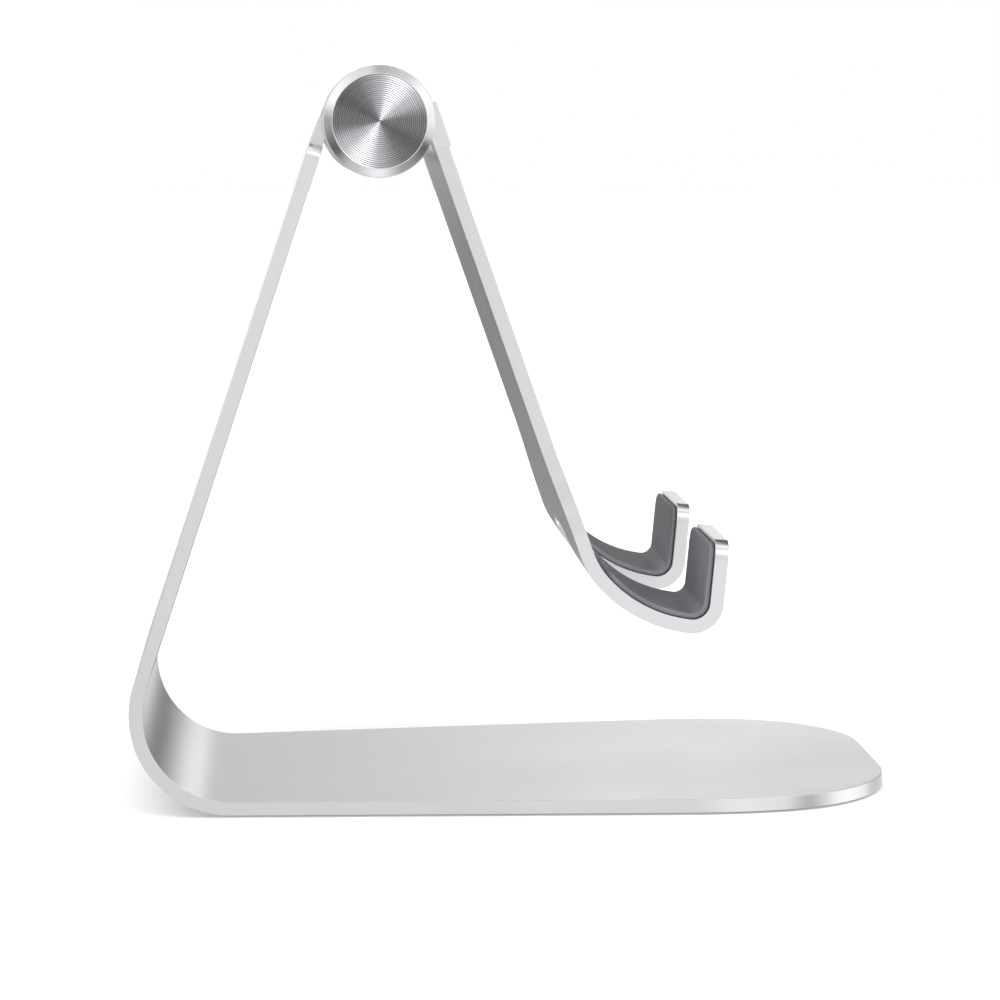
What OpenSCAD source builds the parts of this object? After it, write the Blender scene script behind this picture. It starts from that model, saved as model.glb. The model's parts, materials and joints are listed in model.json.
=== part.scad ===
// Adjustable phone stand: a bent plate base, a friction hinge on top of it, and an arm with two hooks.
// Millimetres. The origin is on the surface that the stand rests on, at the middle of its footprint.
// +X points to the front, where the phone faces, +Z is up, and the hinge axis runs along Y.
// "Left" is the -Y side and "right" the +Y side, as a person sees them from the front.

/* [Plates] */
// Thickness of the base plate and of the arm plate
plate_t = 2.2; // [1.8:0.1:2.6]
// Width of the upright and of the arm above its hooks
stand_w = 59.4; // [56:0.2:64]

/* [Base] */
// Height of the hinge axis above the underside of the base plate
axis_h = 111.25; // [100:0.25:130]
// Angle by which the upright leans forward from vertical
upright_lean = 18.9; // [12:0.1:24]
// Distance from the hinge axis to the upright's back face
upright_off = 9.45; // [9.3:0.05:9.8]
// Outer radius of the bend between the upright and the base
bend_r = 16.4; // [12:0.1:22]
// Distance from the hinge axis to the base's straight front edge
front_reach = 84; // [82:0.5:86]
// Distance from the hinge axis to where the base plate is widest
tongue_x = 53.5; // [50:0.5:55]
// Half of the base plate's greatest width
tongue_half = 35.3; // [34:0.1:37]
// Radius of the base plate's gently curved sides
side_r = 60; // [50:1:80]
// Radius of its round front corners
tongue_r = 24; // [20:0.5:26]
// Thickness of the foot pad
foot_t = 1.0; // [0.8:0.1:1.2]
// Height by which the foot pad stands below the base plate
foot_proud = 0.4; // [0.2:0.1:0.6]
// Border between the foot pad and the edge of the base
foot_inset = 2.5; // [1.5:0.5:5]

/* [Arm] */
// Angle of the arm below horizontal, as stored
arm_dip = 71.1; // [60:0.1:80]
// Distance from the hinge axis to the arm's front face
arm_front = 9.0; // [8.9:0.05:9.2]
// Distance along the arm at which its hooks begin to curve
hook_start = 75; // [74:0.5:76]
// Distance across both hooks
hook_span = 75.8; // [70:0.2:84]
// Width of one hook
hook_w = 26; // [20:0.5:28]
// Outer radius of the hook's first curve
hook_r1 = 15.2; // [14:0.2:18]
// Outer radius of its second, gentler curve
hook_r2 = 23.4; // [20:0.2:26]
// Outer radius of its tight corner
hook_r3 = 5.0; // [4.4:0.1:6]
// Length of the straight lip
lip_len = 10.1; // [8:0.1:12]
// Thickness of the hook pads
pad_t = 0.9; // [0.6:0.1:1.2]
// Border between a hook pad and the metal's edges
pad_inset = 0.6; // [0.4:0.1:1.5]

/* [Hinge] */
// Radius of the hinge shaft
shaft_r = 3.0; // [2.8:0.1:3.2]
// Half of the length of the base's middle knuckle
knuckle_half = 19; // [17:0.5:20]
// Distance from the middle to the outer faces of the arm's ears
ear_face = 29.2; // [28.8:0.1:29.4]
// Radius of the base's middle knuckle
knuckle_r = 9.0; // [8.9:0.05:9.1]
// Radius of the arm's ears
ear_r = 8.9; // [8.8:0.05:9.0]
// Radius of the end caps
cap_r = 8.8; // [8.6:0.05:8.8]
// Height of the bevel round each end cap
cap_bevel = 0.75; // [0.5:0.05:0.8]
// Radius of the turned disc in each end cap
disc_r = 7.45; // [7:0.05:7.7]

/* [Hidden] */
$fn = 120;
fit = 0.02;             // gap between pieces that are pressed or glued together
run_fit = 0.04;         // radial clearance of the shaft in the arm's bushes
arc_step = 3;           // largest angle between two points of a rounded profile

silver = [0.84, 0.84, 0.86];
steel = [0.55, 0.56, 0.58];
pad_grey = [0.42, 0.42, 0.44];

// The upright's own frame: its long direction points down and back from the hinge axis.
upright_dip = 90 + upright_lean;
bend_z_rel = bend_r - axis_h;
bend_x_rel = (bend_r - upright_off - bend_z_rel * cos(upright_dip)) / sin(upright_dip);
upright_len = cos(upright_dip) * bend_x_rel - sin(upright_dip) * bend_z_rel;

// The hinge axis stands so that the footprint's middle falls on the origin.
axis_x = -(front_reach + bend_x_rel - bend_r) / 2;
axis_z = foot_proud + axis_h;

ear_notch = 6.7;        // how far below the axis the upright's side notches reach
arm_notch = 7.4;        // how far from the axis the arm's middle notch reaches
notch_r = 2.4;          // radius of the upright's top corners
neck_step = 0.3;        // how far the knuckle's faces stand out from the neck that carries it
land_h = 0.45;          // height of the raised land on each ear
arm_back = arm_front - plate_t;

// The hooks' curves: directions are measured from the arm's own line towards its front.
psi1 = 24;
psi2 = 61.4;
psi3 = 155.3;
facet_len = 0.7;        // short flat between the second curve and the corner
hook_y = (hook_span - hook_w) / 2;
function heading(a) = [cos(a), sin(a)];
function outward(a) = [sin(a), -cos(a)];
c1 = [hook_start, arm_back + hook_r1];
c2 = c1 + (hook_r1 - hook_r2) * outward(psi1);
p2 = c2 + hook_r2 * outward(psi2);
c3 = p2 + facet_len * heading(psi2) - hook_r3 * outward(psi2);
p3 = c3 + hook_r3 * outward(psi3);

flare_from = 58;        // where the arm starts to widen towards its hooks
flare_to = 72;
slot_root = 74;         // end of the cable slot between the hooks
slot_r = 3;
lip_corner_r = 3.2;     // radius of the lips' corners
pad_psi0 = 17.8;        // where the hook pads begin
pad_corner_r = 2.6;

// Stack of hinge pieces from the middle outwards; each _y is the distance at which a piece starts.
stack_gap = 0.03;       // gap between two pieces of the stack
washer_t = 0.75;        // friction washer between the knuckle and an ear
ear_in = knuckle_half + washer_t + 0.05;
seat_y = 23.2;          // floor of the recess in each ear
seat_r = 7.2;           // radius of that recess
bush_r = 4.0;
thin_t = 0.6;           // thickness of the thrust and pressure washers
thrust_r = 6.4;
thrust_y = seat_y + stack_gap;
spring_r = 6.2;         // outer radius of the disc springs
spring_y = thrust_y + thin_t + stack_gap;
spring_t = 0.5;
spring_h = 0.4;         // height of each spring's cone
pressure_r = 6.2;
pressure_y = spring_y + 2 * (spring_t + spring_h) + 2 * stack_gap;
nut_y = pressure_y + thin_t + stack_gap;
nut_flats = 10;         // distance across the lock nut's flats
shaft_half = 29.0;
flat_half = 2.4;        // half of the distance between the shaft's two flats
screw_r = 1.5;          // set screws that hold the shaft in the knuckle
screw_y = 9;            // their distance from the middle
screw_end = 8.2;        // how far from the axis their outer ends are
socket_r = 0.87;        // their hexagonal sockets
socket_depth = 2;
cap_face = ear_face + 0.9;
spigot_r = 6.5;         // inner radius of the cap's spigot
spigot_len = 1.4;
disc_seat = 0.42;       // depth of the recess for the disc
disc_t = 0.36;

// ---- Frames and small helpers ----

module at_axis() { translate([axis_x, 0, axis_z]) children(); }

// X runs along the plate from the hinge axis and Z along its front normal.
module upright_frame() { at_axis() rotate([0, upright_dip, 0]) children(); }
module arm_frame_place() { at_axis() rotate([0, arm_dip, 0]) children(); }

// Turns a shape made along Z into one that lies along +Y (right, 1) or -Y (left, -1).
module to_side(side) { mirror([0, side < 0 ? 1 : 0, 0]) rotate([-90, 0, 0]) children(); }

// Points along an arc, from one polar angle to another; skip leaves the first one out.
function arc_points(centre, r, from, to, skip = 0) = let (n = max(3, ceil(abs(to - from) / arc_step)))
    [for (i = [skip : n]) let (a = from + (to - from) * i / n) centre + r * [cos(a), sin(a)]];

function reversed(list) = [for (i = [len(list) - 1 : -1 : 0]) list[i]];

// Draws a side profile, given as X and Z, and gives it a width along Y.
module side_plate(points, w, y = 0) {
    translate([0, y, 0]) rotate([90, 0, 0]) linear_extrude(w, center = true) polygon(points);
}

// What a round corner of radius r leaves over, in the quadrant below and left of the origin.
module corner_waste(r, h) {
    difference() {
        translate([-r, -r, 0]) cube([r + 1, r + 1, h]);
        translate([-r, -r, -1]) cylinder(r = r, h = h + 2);
    }
}

// The hook's line at a depth below its outer surface, from a first heading to the end of its lip.
function hook_line(depth, from, lip) = concat(
    arc_points(c1, hook_r1 - depth, from - 90, psi1 - 90),
    arc_points(c2, hook_r2 - depth, psi1 - 90, psi2 - 90, 1),
    arc_points(c3, hook_r3 - depth, psi2 - 90, psi3 - 90),
    [c3 + (hook_r3 - depth) * outward(psi3) + lip * heading(psi3)]);

// Places something at the end of a hook's outer surface, with X out along its lip.
module lip_frame(lip, y) {
    translate([p3[0], y, p3[1]]) rotate([0, -psi3, 0]) translate([lip, 0, 0]) children();
}

// ---- Base ----

// The right half of the base's edge from above, drawn in by an inset, from x = from to the front.
// X counts from the hinge axis. The edge flares from the bend into the curved side, which runs on
// smoothly into the front corner.
function base_edge(inset, from) = let (
    x0 = bend_x_rel,
    w0 = stand_w / 2 - inset,
    side = [tongue_x, tongue_half - side_r],
    turn = acos((front_reach - tongue_r - tongue_x) / (side_r - tongue_r)),
    corner = side + (side_r - tongue_r) * [cos(turn), sin(turn)],
    flare = asin((side_r - inset) / norm([side[0] - x0, w0 - side[1]])) - atan2(w0 - side[1], side[0] - x0),
    start = from < x0 ? [[from, w0], [x0, w0]] : [[from, w0 + (from - x0) * tan(flare)]])
    concat(start,
        arc_points(side, side_r - inset, 90 + flare, turn),
        arc_points(corner, tongue_r - inset, turn, 0, 1));

module base_outline(inset, from) {
    right = base_edge(inset, from);
    polygon(concat(right, [for (p = reversed(right)) [p[0], -p[1]]]));
}

module foot_outline(inset) { base_outline(inset, bend_x_rel + 3 + inset - foot_inset); }

// Side profile of the base, counted from the hinge axis: the end of the upright, bend and base plate.
function upright_point(along, normal) = [
    along * cos(upright_dip) + normal * sin(upright_dip),
    -along * sin(upright_dip) + normal * cos(upright_dip)];
function base_line(depth) = concat(
    [upright_point(upright_len - 5, -upright_off + depth)],
    arc_points([bend_x_rel, bend_z_rel], bend_r - depth, 270 - upright_dip, 270),
    [[front_reach + 1, -axis_h + depth]]);

// The upright from its side: its back face slants in from the shoulders to just inside the knuckle.
upright_side = [[0, fit - knuckle_r], [ear_notch, -upright_off], [upright_len - 2, -upright_off],
    [upright_len - 2, plate_t - upright_off], [0, plate_t - upright_off]];

// The upright from its front: a neck under the knuckle, shoulders with round corners, even sides.
module upright_outline() {
    neck = knuckle_half - neck_step;
    half = stand_w / 2;
    right = concat([[0, neck], [ear_notch, neck]],
        arc_points([ear_notch + notch_r, half - notch_r], notch_r, 180, 90),
        [[upright_len - 2, half]]);
    polygon(concat(right, [for (p = reversed(right)) [p[0], -p[1]]]));
}

module base_frame() color(silver) difference() {
    union() {
        at_axis() intersection() {
            side_plate(concat(base_line(0), reversed(base_line(plate_t))), 2 * stand_w);
            translate([0, 0, -axis_h - 1]) linear_extrude(2 * bend_r)
                base_outline(0, bend_x_rel - 2 * bend_r);
        }
        upright_frame() intersection() {
            side_plate(upright_side, 2 * stand_w);
            translate([0, 0, -2 * upright_off]) linear_extrude(2 * upright_off) upright_outline();
        }
        at_axis() rotate([90, 0, 0]) cylinder(r = knuckle_r, h = 2 * knuckle_half, center = true);
    }
    at_axis() rotate([90, 0, 0])
        cylinder(r = shaft_r + fit, h = 2 * knuckle_half + 2, center = true);
    set_screw_places() translate([0, 0, -knuckle_r - 1]) cylinder(r = screw_r, h = knuckle_r);
    translate([axis_x, 0, foot_proud - 1])
        linear_extrude(1 + foot_t - foot_proud) foot_outline(foot_inset);
}

// The pad is a hair smaller than its pocket.
module foot_pad() color(pad_grey) translate([axis_x, 0, 0])
    linear_extrude(foot_t - fit) foot_outline(foot_inset + fit);

// ---- Hinge pieces that stay with the base ----

module set_screw_places() { at_axis() for (s = [-1, 1]) translate([0, s * screw_y, 0]) children(); }

module hinge_shaft() color(steel) at_axis() rotate([90, 0, 0]) difference() {
    cylinder(r = shaft_r, h = 2 * shaft_half, center = true);
    for (end = [0, 1], s = [0, 1]) mirror([0, 0, end]) mirror([0, s, 0])
        translate([-shaft_r - 1, flat_half, seat_y + 0.02]) cube([2 * shaft_r + 2, shaft_r, shaft_half]);
}

module shaft_set_screws() color(steel) set_screw_places() difference() {
    translate([0, 0, -screw_end]) cylinder(r = screw_r - fit, h = screw_end - shaft_r - 2 * fit);
    translate([0, 0, -screw_end - 1]) cylinder(r = socket_r, h = socket_depth + 1, $fn = 6);
}

// A washer whose hole has two flats, so that it can't turn on the shaft.
module keyed_washer(r, y, t, side) {
    at_axis() to_side(side) translate([0, 0, y]) difference() {
        cylinder(r = r, h = t);
        intersection() {
            translate([0, 0, -1]) cylinder(r = shaft_r + fit, h = t + 2);
            translate([-r, -flat_half - fit, -2]) cube([2 * r, 2 * (flat_half + fit), t + 4]);
        }
    }
}

module friction_washer(side) color([0.72, 0.6, 0.36]) at_axis() to_side(side)
    translate([0, 0, knuckle_half + fit]) difference() {
        cylinder(r = cap_r - 0.3, h = washer_t - fit);
        translate([0, 0, -1]) cylinder(r = shaft_r + fit, h = washer_t + 2);
    }

module thrust_washer(side) color(steel) keyed_washer(thrust_r, thrust_y, thin_t, side);

module pressure_washer(side) color(steel) keyed_washer(pressure_r, pressure_y, thin_t, side);

// Two conical springs, outer edge to outer edge.
module disc_spring() {
    r_in = shaft_r + 0.12;
    rotate_extrude()
        polygon([[r_in, 0], [spring_r, spring_h], [spring_r, spring_h + spring_t], [r_in, spring_t]]);
}

module disc_springs(side) color([0.4, 0.41, 0.43]) at_axis() to_side(side) translate([0, 0, spring_y]) {
    disc_spring();
    translate([0, 0, 2 * (spring_h + spring_t) + fit]) mirror([0, 0, 1]) disc_spring();
}

module lock_nut(side) color(steel) at_axis() to_side(side) translate([0, 0, nut_y]) difference() {
    cylinder(r = nut_flats / 2 / cos(30), h = shaft_half - nut_y, $fn = 6);
    translate([0, 0, -1]) cylinder(r = shaft_r + fit, h = shaft_half);
}

// ---- Arm ----

// The arm's outline from its front, widening in a smooth curve towards the hooks.
function flare_half(a) = let (u = (a - flare_from) / (flare_to - flare_from))
    stand_w / 2 + (hook_span - stand_w) / 2 * u * u * (3 - 2 * u);

module arm_outline() {
    flare = [for (i = [0 : 14]) let (a = flare_from + (flare_to - flare_from) * i / 14) [a, flare_half(a)]];
    end = hook_start + hook_r1 + hook_r2;
    right = concat([[arm_notch, stand_w / 2]], flare, [[end, hook_span / 2]]);
    polygon(concat(right, [for (p = reversed(right)) [p[0], -p[1]]]));
}

module slot_outline() {
    half = hook_y - hook_w / 2;
    translate([slot_root + slot_r, -half]) square([60, 2 * half]);
    translate([slot_root, -half + slot_r]) square([60, 2 * (half - slot_r)]);
    for (s = [-1, 1]) translate([slot_root + slot_r, s * (half - slot_r)]) circle(r = slot_r);
}

function arm_line(depth) = concat([[arm_notch, arm_back + depth]], hook_line(depth, 0, lip_len));

module arm_frame() color(silver) arm_frame_place() difference() {
    union() {
        intersection() {
            side_plate(concat(arm_line(0), reversed(arm_line(plate_t))), hook_span + 2);
            linear_extrude(60) difference() {
                arm_outline();
                slot_outline();
            }
        }
        for (s = [0, 1]) mirror([0, s, 0]) ear();
    }
    for (s = [0, 1]) mirror([0, s, 0]) ear_bores();
    for (s = [-1, 1], m = [0, 1]) lip_frame(lip_len, s * hook_y) mirror([0, m, 0])
        translate([0, hook_w / 2, -1]) corner_waste(lip_corner_r, plate_t + 2);
}

// One knuckle of the arm, with the raised land over its tangent plate.
module ear() {
    rotate([-90, 0, 0]) translate([0, 0, ear_in]) cylinder(r = ear_r, h = ear_face - ear_in);
    translate([0, ear_in, arm_back]) cube([arm_notch + 0.6, ear_face - ear_in, plate_t]);
    translate([0, ear_in, arm_front - 1]) cube([arm_notch, ear_face - ear_in, 1 + land_h]);
}

module ear_bores() {
    rotate([-90, 0, 0]) {
        translate([0, 0, ear_in - 1]) cylinder(r = bush_r + fit, h = 12);
        translate([0, 0, seat_y]) cylinder(r = seat_r + fit, h = 12);
    }
}

module arm_bush(side) color([0.72, 0.55, 0.3]) at_axis() to_side(side) translate([0, 0, ear_in]) difference() {
    cylinder(r = bush_r, h = seat_y - ear_in);
    translate([0, 0, -1]) cylinder(r = shaft_r + run_fit, h = 6);
}

// Cap with a bevelled rim, a shallow recess for the disc, and a spigot that fits the ear's recess.
module end_cap(side) color(silver) at_axis() to_side(side) rotate_extrude() polygon([
    [0, ear_face], [spigot_r, ear_face], [spigot_r, ear_face - spigot_len], [seat_r, ear_face - spigot_len],
    [seat_r, ear_face], [cap_r, ear_face], [cap_r, cap_face - cap_bevel], [disc_r + 0.12, cap_face],
    [disc_r + fit, cap_face], [disc_r + fit, cap_face - disc_seat], [0, cap_face - disc_seat]]);

module cap_disc(side) color([0.7, 0.7, 0.72]) at_axis() to_side(side)
    translate([0, 0, cap_face - disc_seat + fit]) cylinder(r = disc_r, h = disc_t);

module hook_pad(side) color(pad_grey) arm_frame_place() {
    under = plate_t + fit;
    top = under + pad_t;
    lip = lip_len - pad_inset;
    w = hook_w - 2 * pad_inset;
    start = c1 + (hook_r1 - under) * outward(pad_psi0);
    difference() {
        side_plate(concat(hook_line(under, pad_psi0, lip), reversed(hook_line(top, pad_psi0, lip))),
            w, side * hook_y);
        for (m = [0, 1]) {
            lip_frame(lip, side * hook_y) mirror([0, m, 0])
                translate([0, w / 2, 0]) corner_waste(pad_corner_r, top + 1);
            translate([start[0], side * hook_y, start[1]]) rotate([0, -pad_psi0, 0]) mirror([0, m, 0])
                translate([0, w / 2, -1]) mirror([1, 0, 0]) corner_waste(pad_corner_r, pad_t + 2);
        }
    }
}

// ---- Nodes ----

base_frame();
foot_pad();
hinge_shaft();
shaft_set_screws();
friction_washer(-1);  // friction_washer_left
friction_washer(1);  // friction_washer_right
thrust_washer(-1);  // thrust_washer_left
thrust_washer(1);  // thrust_washer_right
disc_springs(-1);  // disc_springs_left
disc_springs(1);  // disc_springs_right
pressure_washer(-1);  // pressure_washer_left
pressure_washer(1);  // pressure_washer_right
lock_nut(-1);  // lock_nut_left
lock_nut(1);  // lock_nut_right
arm_frame();
arm_bush(-1);  // arm_bush_left
arm_bush(1);  // arm_bush_right
end_cap(-1);  // end_cap_left
end_cap(1);  // end_cap_right
cap_disc(-1);  // cap_disc_left
cap_disc(1);  // cap_disc_right
hook_pad(-1);  // hook_pad_left
hook_pad(1);  // hook_pad_right
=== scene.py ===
"""An adjustable phone stand: materials, turned caps, soft light and camera around its CAD frame."""

import json
import math

import bmesh
import bpy
from mathutils import Matrix, Vector


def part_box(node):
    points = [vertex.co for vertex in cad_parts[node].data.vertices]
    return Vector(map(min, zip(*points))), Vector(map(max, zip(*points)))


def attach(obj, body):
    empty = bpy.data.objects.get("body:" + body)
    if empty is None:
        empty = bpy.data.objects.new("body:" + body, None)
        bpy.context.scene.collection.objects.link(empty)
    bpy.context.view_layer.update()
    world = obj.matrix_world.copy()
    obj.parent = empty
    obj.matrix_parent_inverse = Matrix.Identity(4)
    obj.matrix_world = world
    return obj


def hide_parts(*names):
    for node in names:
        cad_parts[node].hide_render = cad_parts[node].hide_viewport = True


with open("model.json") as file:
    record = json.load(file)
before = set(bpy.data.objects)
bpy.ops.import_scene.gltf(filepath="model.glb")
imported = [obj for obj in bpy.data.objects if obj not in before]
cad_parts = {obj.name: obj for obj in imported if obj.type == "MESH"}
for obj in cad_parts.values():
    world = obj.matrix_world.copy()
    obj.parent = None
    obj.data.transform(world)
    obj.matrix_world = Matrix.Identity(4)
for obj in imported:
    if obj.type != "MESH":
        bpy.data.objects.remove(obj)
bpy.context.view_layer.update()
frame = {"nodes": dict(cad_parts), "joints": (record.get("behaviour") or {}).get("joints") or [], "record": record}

MM = 0.001
NODES = frame["nodes"]
HINGE = Vector(frame["joints"][0]["pos_m"])
SIDES = {"left": -1, "right": 1}


# ---- Camera ----

CAMERA_FROM_HINGE = Vector((-13.904, -529.287, -2.563)) * MM
CAMERA_YAW = math.radians(3.72)       # turned towards the front of the stand
CAMERA_PITCH = math.radians(-6.608)
CAMERA_ROLL = math.radians(0.45)
LENS_MM = 112.93
SENSOR_MM = 36


def make_camera():
    """The view from the near side, a little below the hinge's height and tilted down."""
    data = bpy.data.cameras.new("camera")
    data.sensor_width = SENSOR_MM
    data.lens = LENS_MM
    data.clip_start = 0.01
    data.clip_end = 50
    camera = bpy.data.objects.new("camera", data)
    turn = (Matrix.Rotation(-CAMERA_YAW, 4, "Z")
            @ Matrix.Rotation(math.pi / 2 + CAMERA_PITCH, 4, "X")
            @ Matrix.Rotation(-CAMERA_ROLL, 4, "Z"))
    camera.matrix_world = Matrix.Translation(HINGE + CAMERA_FROM_HINGE) @ turn
    bpy.context.scene.collection.objects.link(camera)
    bpy.context.scene.camera = camera


# ---- Node helpers ----

class Graph:
    """A node tree with short calls for the nodes that the materials use."""

    def __init__(self, tree):
        self.tree = tree
        tree.nodes.clear()

    def node(self, kind, **settings):
        made = self.tree.nodes.new(kind)
        for name, value in settings.items():
            setattr(made, name, value)
        return made

    def link(self, output, socket):
        self.tree.links.new(output, socket)

    def set(self, socket, value):
        if isinstance(value, bpy.types.NodeSocket):
            self.link(value, socket)
        else:
            socket.default_value = value

    def math(self, operation, first, second=0.0):
        made = self.node("ShaderNodeMath", operation=operation)
        self.set(made.inputs[0], first)
        self.set(made.inputs[1], second)
        return made.outputs[0]

    def noise(self, vector, per_mm, detail):
        made = self.node("ShaderNodeTexNoise")
        self.link(vector, made.inputs["Vector"])
        made.inputs["Scale"].default_value = per_mm / MM
        made.inputs["Detail"].default_value = detail
        return made.outputs["Fac"]

    def spread(self, value, low, high, from_low=0.3, from_high=0.7):
        """Stretches a noise value, which mostly lies in the middle of 0 to 1, over low to high."""
        made = self.node("ShaderNodeMapRange")
        self.link(value, made.inputs["Value"])
        made.inputs["From Min"].default_value = from_low
        made.inputs["From Max"].default_value = from_high
        made.inputs["To Min"].default_value = low
        made.inputs["To Max"].default_value = high
        return made.outputs["Result"]

    def tint(self, value, dark, light):
        made = self.node("ShaderNodeMix", data_type="RGBA")
        self.link(value, made.inputs["Factor"])
        made.inputs["A"].default_value = (*dark, 1)
        made.inputs["B"].default_value = (*light, 1)
        return made.outputs["Result"]

    def bump(self, height, depth):
        made = self.node("ShaderNodeBump")
        self.link(height, made.inputs["Height"])
        made.inputs["Strength"].default_value = 1.0
        made.inputs["Distance"].default_value = depth
        return made.outputs["Normal"]


def new_material(name):
    """A principled material, and the parts that its maker links up."""
    material = bpy.data.materials.new(name)
    material.use_nodes = True
    g = Graph(material.node_tree)
    shader = g.node("ShaderNodeBsdfPrincipled")
    output = g.node("ShaderNodeOutputMaterial")
    g.link(shader.outputs["BSDF"], output.inputs["Surface"])
    place = g.node("ShaderNodeTexCoord").outputs["Object"]
    return material, g, shader, place


# ---- Materials ----

def satin_aluminium():
    """Bead-blasted and anodised aluminium: a fine even grain and faint cloudiness."""
    material, g, shader, place = new_material("satin_aluminium")
    cloud = g.noise(place, 0.03, 3)
    grain = g.noise(place, 3.2, 3)
    shader.inputs["Metallic"].default_value = 1.0
    g.link(g.tint(g.spread(cloud, 0, 1), (0.865, 0.865, 0.885), (0.905, 0.905, 0.92)),
           shader.inputs["Base Color"])
    g.link(g.spread(g.math("ADD", g.math("MULTIPLY", cloud, 0.5), g.math("MULTIPLY", grain, 0.5)),
                    0.27, 0.34), shader.inputs["Roughness"])
    g.link(g.bump(grain, 0.006 * MM), shader.inputs["Normal"])
    return material


def turned_metal(name, roughness, anisotropy, dark, light, groove=None):
    """Aluminium cut on a lathe: fine marks of random tone run round the hinge axis, and shade is painted into the
    valleys of any grooves.
    """
    material, g, shader, place = new_material(name)
    split = g.node("ShaderNodeSeparateXYZ")
    g.link(place, split.inputs["Vector"])
    across = g.math("SUBTRACT", split.outputs["X"], HINGE.x)
    above = g.math("SUBTRACT", split.outputs["Z"], HINGE.z)
    radius = g.math("SQRT", g.math("ADD", g.math("MULTIPLY", across, across),
                                   g.math("MULTIPLY", above, above)))
    ring = g.node("ShaderNodeCombineXYZ")
    g.link(radius, ring.inputs["X"])
    marks = g.noise(ring.outputs["Vector"], 14, 2)
    shader.inputs["Metallic"].default_value = 1.0
    shader.inputs["Anisotropic"].default_value = anisotropy
    shader.inputs["Anisotropic Rotation"].default_value = 0.25
    marks_and_groove_shade = g.spread(marks, 0, 1)
    if groove:
        # Painted shade: the colour darkens towards the valley of each groove.
        depth = g.math("PINGPONG", radius, groove / 2)
        marks_and_groove_shade = g.math("MULTIPLY", marks_and_groove_shade, g.spread(depth, 1, 0, groove * 0.2, groove * 0.5))
    g.link(g.tint(marks_and_groove_shade, dark, light), shader.inputs["Base Color"])
    g.link(g.spread(marks, roughness * 0.85, roughness * 1.15), shader.inputs["Roughness"])
    g.link(g.bump(marks, 0.001 * MM), shader.inputs["Normal"])
    tangent = g.node("ShaderNodeTangent", direction_type="RADIAL", axis="Y")
    g.link(tangent.outputs["Tangent"], shader.inputs["Tangent"])
    return material


def silicone():
    """Matt grey rubber with a fine moulded grain."""
    material, g, shader, place = new_material("silicone")
    grain = g.noise(place, 5.0, 3)
    cloud = g.noise(place, 0.15, 2)
    g.link(g.tint(g.spread(cloud, 0, 1), (0.09, 0.09, 0.1), (0.108, 0.108, 0.12)),
           shader.inputs["Base Color"])
    g.link(g.spread(grain, 0.50, 0.62), shader.inputs["Roughness"])
    g.link(g.bump(grain, 0.01 * MM), shader.inputs["Normal"])
    return material


def plain_metal(name, dark, light, roughness, per_mm):
    """A turned or stamped metal of one tone, with a fine grain."""
    material, g, shader, place = new_material(name)
    grain = g.noise(place, per_mm, 3)
    shader.inputs["Metallic"].default_value = 1.0
    g.link(g.tint(g.spread(grain, 0, 1), dark, light), shader.inputs["Base Color"])
    g.link(g.spread(grain, roughness * 0.8, roughness * 1.2), shader.inputs["Roughness"])
    g.link(g.bump(grain, 0.004 * MM), shader.inputs["Normal"])
    return material


def node_reach(node):
    """Radius of a round node on the hinge axis, and its two ends' distances from the middle plane."""
    low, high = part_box(node)
    return (high.x - low.x) / 2, min(abs(low.y), abs(high.y)), max(abs(low.y), abs(high.y))


DISC_R = node_reach("cap_disc_left")[0]
GROOVES = 23             # concentric grooves in each disc

MATERIALS = {
    "satin_aluminium": satin_aluminium(),
    "polished_rim": turned_metal("polished_rim", 0.16, 0.5, (0.84, 0.84, 0.86), (0.9, 0.9, 0.92)),
    # The disc's dark tone is both its darkest turning marks and the painted shade in its groove valleys.
    "turned_disc": turned_metal("turned_disc", 0.15, 0.4, (0.2, 0.2, 0.22), (0.95, 0.95, 0.97),
                                DISC_R / GROOVES),
    "silicone": silicone(),
    "machined_steel": plain_metal("machined_steel", (0.5, 0.5, 0.51), (0.62, 0.62, 0.63), 0.3, 2.5),
    "black_steel": plain_metal("black_steel", (0.05, 0.05, 0.055), (0.09, 0.09, 0.095), 0.4, 2.5),
    "bronze": plain_metal("bronze", (0.5, 0.32, 0.14), (0.62, 0.42, 0.2), 0.38, 2.0),
}


# ---- CAD nodes that are shown ----

SHARP = math.radians(35)     # edges that turn more than this stay edges
FLAT = math.radians(0.5)     # faces that turn less than this are joined
WELD = 0.01 * MM         # points closer than this are joined
EDGE_STEPS = 3
EDGE = {                 # radius of the broken edges, by node
    "base_frame": 0.08 * MM,
    "arm_frame": 0.08 * MM,
    "foot_pad": 0.2 * MM,
    "hook_pad_left": 0.35 * MM,
    "hook_pad_right": 0.35 * MM,
}


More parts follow.
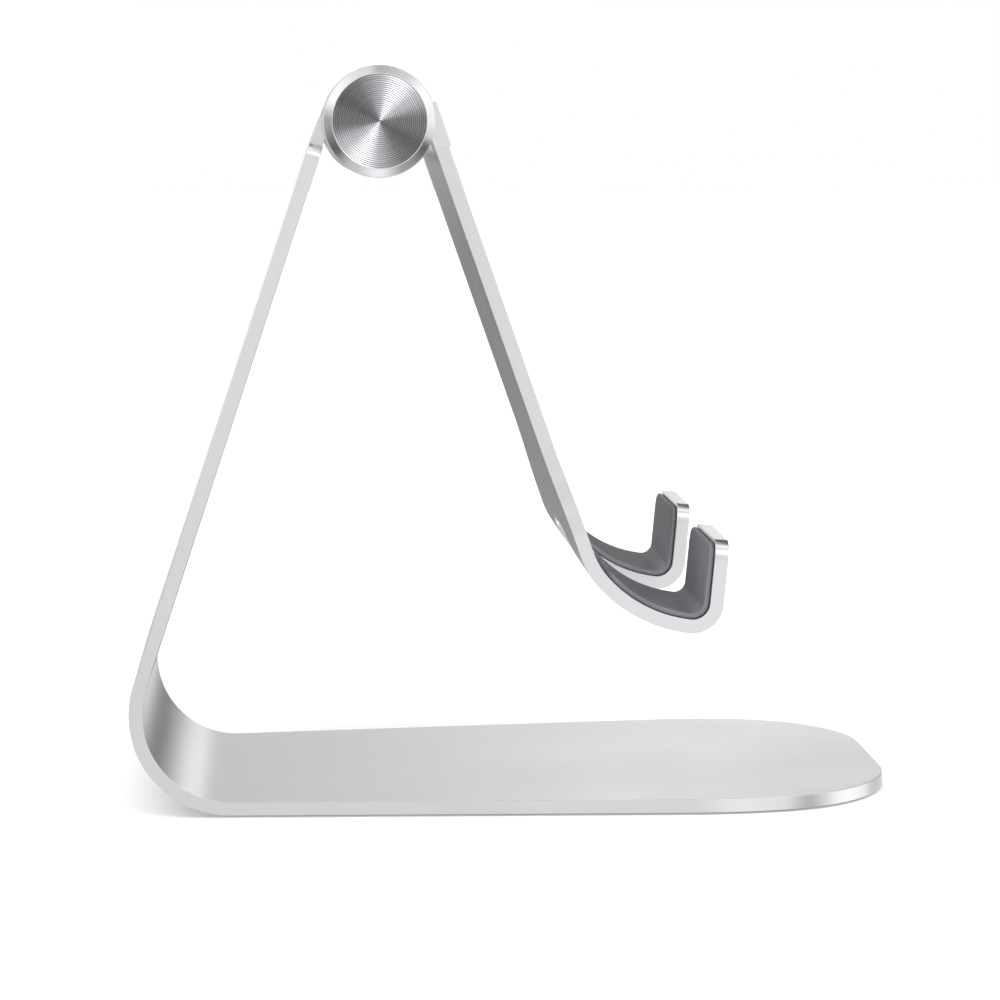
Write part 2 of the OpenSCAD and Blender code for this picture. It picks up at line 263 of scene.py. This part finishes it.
def area_normals():
    """A modifier that sets each point's normal by the size of its faces, so that flat faces stay flat."""
    tree = bpy.data.node_groups.new("area_normals", "GeometryNodeTree")
    tree.interface.new_socket("Geometry", in_out="INPUT", socket_type="NodeSocketGeometry")
    tree.interface.new_socket("Geometry", in_out="OUTPUT", socket_type="NodeSocketGeometry")
    g = Graph(tree)
    area_mm2 = g.math("DIVIDE", g.node("GeometryNodeInputMeshFaceArea").outputs["Area"], MM * MM)
    sized = g.node("ShaderNodeVectorMath", operation="SCALE")
    g.link(g.node("GeometryNodeInputNormal").outputs["Normal"], sized.inputs["Vector"])
    g.link(area_mm2, sized.inputs["Scale"])
    value = sized.outputs["Vector"]
    for domain in ("FACE", "POINT"):
        on_domain = g.node("GeometryNodeFieldOnDomain", domain=domain, data_type="FLOAT_VECTOR")
        g.link(value, on_domain.inputs["Value"])
        value = on_domain.outputs["Value"]
    unit = g.node("ShaderNodeVectorMath", operation="NORMALIZE")
    g.link(value, unit.inputs[0])
    put = g.node("GeometryNodeSetMeshNormal", mode="FREE", domain="POINT")
    g.link(g.node("NodeGroupInput").outputs["Geometry"], put.inputs["Mesh"])
    g.link(unit.outputs["Vector"], put.inputs["Custom Normal"])
    g.link(put.outputs["Mesh"], g.node("NodeGroupOutput").inputs["Geometry"])
    return tree


AREA_NORMALS = area_normals()


def smooth(mesh):
    for polygon in mesh.polygons:
        polygon.use_smooth = True


def finish_node(name, node, slot):
    """Gives a CAD node its material, joins its split vertices and rounds its edges."""
    node.data.materials.clear()
    node.data.materials.append(MATERIALS[slot])
    weld = node.modifiers.new("weld", "WELD")
    weld.merge_threshold = WELD
    flat = node.modifiers.new("flat", "DECIMATE")
    flat.decimate_type = "DISSOLVE"
    flat.angle_limit = FLAT
    if name in EDGE:
        bevel = node.modifiers.new("edge", "BEVEL")
        bevel.width = EDGE[name]
        bevel.segments = EDGE_STEPS
        bevel.limit_method = "ANGLE"
        bevel.angle_limit = SHARP
        bevel.use_clamp_overlap = False
        node.modifiers.new("even", "NODES").node_group = AREA_NORMALS
    smooth(node.data)


for part in frame["record"]["subparts"]:
    finish_node(part["node"], NODES[part["node"]], part["material_slot"])


# ---- Turned caps ----

AROUND = 240             # steps round a turned piece


def lathe(name, profile, side):
    """Spins points of (radius, distance from the middle plane), in metres, about the hinge axis."""
    mesh = bpy.data.meshes.new(name)
    made = bmesh.new()
    angles = [2 * math.pi * i / AROUND for i in range(AROUND)]
    rings = []
    for radius, reach in profile:
        if radius == 0:
            rings.append([made.verts.new(HINGE + Vector((0, side * reach, 0)))])
            continue
        rings.append([made.verts.new(HINGE + Vector((radius * math.cos(a), side * reach,
                                                     radius * math.sin(a)))) for a in angles])
    for first, second in zip(rings, rings[1:]):
        for i in range(AROUND):
            j = (i + 1) % AROUND
            corners = [first[i % len(first)], first[j % len(first)],
                       second[j % len(second)], second[i % len(second)]]
            unique = list(dict.fromkeys(corners))
            if len(unique) > 2:
                made.faces.new(unique)
    bmesh.ops.recalc_face_normals(made, faces=made.faces)
    made.to_mesh(mesh)
    made.free()
    smooth(mesh)
    piece = bpy.data.objects.new(name, mesh)
    bpy.context.scene.collection.objects.link(piece)
    return piece


GROOVE_SLOPE = math.radians(24)


def disc_profile(radius, back, face):
    """A disc with concentric V-shaped grooves."""
    half = radius / GROOVES / 2
    depth = half * math.tan(GROOVE_SLOPE)
    points = [(half * i, face - depth * (i % 2)) for i in range(2 * GROOVES)]
    return points + [(radius, face), (radius, back), (0, back)]


def rounded(points, radius, steps=4):
    """Rounds the inner corners of an open profile of (radius, reach) points."""
    line = [Vector(point) for point in points]
    result = [line[0]]
    for before, corner, after in zip(line, line[1:], line[2:]):
        back = (before - corner).normalized()
        on = (after - corner).normalized()
        half = back.angle(on) / 2
        cut = radius / math.tan(half)
        middle = corner + (back + on).normalized() * radius / math.sin(half)
        start = (corner + back * cut - middle).normalized()
        end = (corner + on * cut - middle).normalized()
        result += [middle + start.slerp(end, i / steps) * radius for i in range(steps + 1)]
    result.append(line[-1])
    return [tuple(point) for point in result]


RIM_BEVEL = 0.75 * MM    # height of the bevel round a cap
RIM_LAND = 0.12 * MM     # flat that is left between the bevel and the disc's recess
RIM_EDGE = 0.03 * MM     # radius of the rim's broken edges
RIM_GAP = 0.02 * MM      # gap round the disc
RECESS = 0.42 * MM       # depth of the disc's recess
SPIGOT_R = (6.5 * MM, 7.2 * MM)  # inner and outer radius of the ring that sits in the arm's ear
SPIGOT_LEN = 1.4 * MM


def rim_profile(disc_radius, radius, inner_end, face):
    """A cap: bevelled rim, recess for the disc, and the spigot that sits in the arm's ear."""
    seat = inner_end + SPIGOT_LEN
    wall = disc_radius + RIM_GAP
    rim = rounded([(radius, seat), (radius, face - RIM_BEVEL), (disc_radius + RIM_LAND, face),
                   (wall, face), (wall, face - RECESS)], RIM_EDGE)
    spigot = [(0, seat), (SPIGOT_R[0], seat), (SPIGOT_R[0], inner_end), (SPIGOT_R[1], inner_end),
              (SPIGOT_R[1], seat)]
    return spigot + rim + [(0, face - RECESS)]


def add_turned(name, profile, side, node, slot):
    """A turned piece that stands for a CAD node of the arm."""
    piece = lathe(name, profile, side)
    piece.data.materials.append(MATERIALS[slot])
    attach(piece, "arm")
    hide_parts(node)
    return piece


def make_caps():
    for label, side in SIDES.items():
        disc_radius, disc_back, disc_face = node_reach("cap_disc_" + label)
        radius, inner_end, face = node_reach("end_cap_" + label)
        disc = add_turned("turned_disc_" + label, disc_profile(disc_radius, disc_back, disc_face), side,
                          "cap_disc_" + label, "turned_disc")
        disc.data.set_sharp_from_angle(angle=SHARP)
        rim = add_turned("cap_rim_" + label, rim_profile(disc_radius, radius, inner_end, face), side,
                         "end_cap_" + label, "polished_rim")
        rim.modifiers.new("even", "NODES").node_group = AREA_NORMALS


make_camera()
make_caps()


# ---- Floor and light ----

FLOOR_HALF = 6.0         # metres from the middle to each side


def white_floor():
    material, g, shader, place = new_material("floor_white")
    cloud = g.noise(place, 0.004, 2)
    g.link(g.tint(g.spread(cloud, 0, 1), (0.77, 0.77, 0.77), (0.79, 0.79, 0.79)),
           shader.inputs["Base Color"])
    shader.inputs["Roughness"].default_value = 1.0
    shader.inputs["Specular IOR Level"].default_value = 0.0
    mesh = bpy.data.meshes.new("floor")
    signs = ((-1, -1), (1, -1), (1, 1), (-1, 1))
    mesh.from_pydata([(x * FLOOR_HALF, y * FLOOR_HALF, 0) for x, y in signs], [], [(0, 1, 2, 3)])
    floor = bpy.data.objects.new("floor", mesh)
    floor.data.materials.append(material)
    floor.visible_glossy = False
    bpy.context.scene.collection.objects.link(floor)


# What the metal reflects, as brightness by clock angle about the hinge's direction (0 is up, 90 the
# front of the stand) in bands that widen from the camera's side of the room to its far side. Each band
# gives the angle where it starts, in degrees from the camera's side, the degrees over which it fades
# in, and its brightness by clock angle.
SKY_POLE = 0.95
SKY_ON_MATT = 2.2        # times the room's brightness, for the light on the floor and the rubber
SKY_BANDS = [
    (3, 6, {-180: 0.64, -60: 0.76, 110: 0.76, 141: 1.35, 157: 0.64, 180: 0.64}),
    (42, 5, {-180: 0.85, -150: 1.4, -120: 0.9, -92: 0.28, -60: 0.14, -32: 0.24, -16: 0.75, 0: 1.1,
             30: 3.8, 58: 1.4, 85: 0.28, 105: 0.3, 122: 0.12, 150: 0.28, 180: 0.8}),
    (54, 6, {-180: 1.05, -150: 0.55, -122: 0.02, -90: 0.4, -62: 1.3, -12: 0.85, 4: 0.42, 28: 0.5,
             60: 1.2, 90: 1.05, 104: 0.8, 118: 0.1, 150: 0.38, 180: 1.05}),
    (70, 6, {-180: 0.7, -60: 0.7, -10: 0.65, 12: 1.2, 30: 1.3, 60: 0.9, 102: 1.2, 140: 0.6, 180: 0.7}),
    (94, 8, {-180: 0.5, -60: 0.6, 8: 0.8, 15: 0.0, 52: 0.0, 70: 0.7, 102: 1.1, 130: 0.5, 180: 0.5}),
    (112, 10, {-180: 0.5, -60: 0.5, 8: 0.7, 15: 0.0, 52: 0.0, 70: 0.4, 98: 0.2, 108: 0.75, 130: 0.9,
               180: 0.5}),
    (156, 6, {-180: 0.62, -148: 0.08, -120: 0.1, -100: 1.4, -60: 1.3, -40: 0.8, -6: 0.56, 6: 0.68,
              14: 0.72, 26: 0.84, 36: 1.4, 50: 1.4, 62: 1.1, 76: 0.6, 88: 0.1, 102: 0.0, 113: 0.1,
              124: 0.9, 180: 0.66}),
]


def sky_by_clock(g, clock, levels):
    """A ramp from clock angle, as 0 to 1, to brightness."""
    ramp = g.node("ShaderNodeValToRGB")
    g.link(clock, ramp.inputs["Fac"])
    ramp.color_ramp.interpolation = "EASE"
    stops = ramp.color_ramp.elements
    for angle, level in levels.items():
        at = angle / 360 + 0.5
        if at == 0:
            stop = stops[0]
        elif at == 1:
            stop = stops[-1]
        else:
            stop = stops.new(at)
        stop.color = (level, level, level, 1)
    return ramp.outputs["Color"]


def soft_sky():
    """A pale room with soft bright and dark walls for the metal, and plain white behind the object."""
    world = bpy.data.worlds.new("sky")
    bpy.context.scene.world = world
    world.use_nodes = True
    g = Graph(world.node_tree)
    split = g.node("ShaderNodeSeparateXYZ")
    g.link(g.node("ShaderNodeTexCoord").outputs["Generated"], split.inputs["Vector"])
    turn = g.math("ARCTAN2", split.outputs["X"], split.outputs["Z"])
    clock = g.math("ADD", g.math("DIVIDE", turn, 2 * math.pi), 0.5)
    away = g.math("ARCCOSINE", g.math("MULTIPLY", split.outputs["Y"], -1.0))
    level = SKY_POLE
    for start, over, levels in SKY_BANDS:
        mask = g.node("ShaderNodeMapRange", interpolation_type="SMOOTHSTEP")
        g.link(away, mask.inputs["Value"])
        mask.inputs["From Min"].default_value = math.radians(start)
        mask.inputs["From Max"].default_value = math.radians(start + over)
        blend = g.node("ShaderNodeMix", data_type="FLOAT")
        g.link(mask.outputs["Result"], blend.inputs["Factor"])
        g.set(blend.inputs["A"], level)
        g.link(sky_by_clock(g, clock, levels), blend.inputs["B"])
        level = blend.outputs["Result"]
    ray = g.node("ShaderNodeLightPath")
    lit = g.math("ADD", g.math("MULTIPLY", ray.outputs["Is Diffuse Ray"], SKY_ON_MATT - 1), 1.0)
    sky = g.node("ShaderNodeBackground")
    sky.inputs["Color"].default_value = (1, 1, 1, 1)
    g.link(g.math("MAXIMUM", g.math("MULTIPLY", level, lit), ray.outputs["Is Camera Ray"]),
           sky.inputs["Strength"])
    output = g.node("ShaderNodeOutputWorld")
    g.link(sky.outputs["Background"], output.inputs["Surface"])


def make_sun(name, toward, strength, spread):
    """A soft lamp for the rubber and the floor; the metal reflects only the room."""
    data = bpy.data.lights.new(name, "SUN")
    data.energy = strength
    data.angle = math.radians(spread)
    sun = bpy.data.objects.new(name, data)
    sun.matrix_world = Vector(toward).to_track_quat("Z", "Y").to_matrix().to_4x4()
    sun.visible_glossy = False
    bpy.context.scene.collection.objects.link(sun)


white_floor()
soft_sky()
make_sun("sun_left", (-1.0, -0.9, 0.1), 3.0, 30)
make_sun("sun_top", (-0.35, 0.1, 1.0), 0.3, 50)
make_sun("sun_front", (0.0, -1.0, 0.08), 1.2, 40)
bpy.context.scene.view_settings.view_transform = "Standard"
